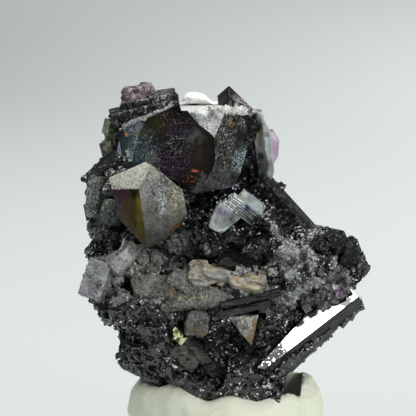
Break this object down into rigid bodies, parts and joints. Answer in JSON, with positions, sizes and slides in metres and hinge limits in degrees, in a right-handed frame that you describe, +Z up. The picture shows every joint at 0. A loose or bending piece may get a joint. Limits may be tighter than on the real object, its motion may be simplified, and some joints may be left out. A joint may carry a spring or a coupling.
{
  "type": "phantom fluorite specimen on matrix",
  "caption": "Dark purple and olive phantom fluorite cubes on a black bladed ferberite matrix with pale crusts, standing in a lump of mounting putty.",
  "frame": {"origin": "centre of the putty's flat underside", "axes": "+Z up; the side with the front cube faces -Y; +X to the right seen from that side"},
  "size_m": [0.0525, 0.0367, 0.0635],
  "materials": {
    "fluorite_frosted": "frosted outside, see-through olive and purple zones inside",
    "fluorite_clear": "glassy, clear, stepped",
    "fluorite_purple": "dark purple, glassy on the break and frosted on the growth faces",
    "fluorite_rear": "clear with olive and lilac zones",
    "fluorite_lilac": "glassy lilac",
    "fluorite_olive": "glassy olive",
    "fluorite_crust": "sugary grey with purple spots",
    "pyrite": "bright brassy metallic",
    "mica": "ochre, satin",
    "calcite": "white, sugary",
    "ferberite": "black, sub-metallic, with mirror-bright blade faces and grey sugary crust",
    "putty": "matte, pale"
  },
  "bodies": {
    "root": {"front_fluorite": "fluorite_frosted", "clear_fluorite": "fluorite_clear", "large_fluorite": "fluorite_purple", "rear_fluorite": "fluorite_rear", "crown_fluorite": "fluorite_lilac", "side_fluorite": "fluorite_olive", "left_crust": "fluorite_crust", "right_crust": "fluorite_crust", "wedge_fluorite": "fluorite_crust", "round_fluorite": "fluorite_crust", "pyrite_grain": "pyrite", "mica_flakes": "mica", "top_calcite": "calcite", "matrix": "ferberite", "putty_base": "putty"}
  },
  "joints": []
}
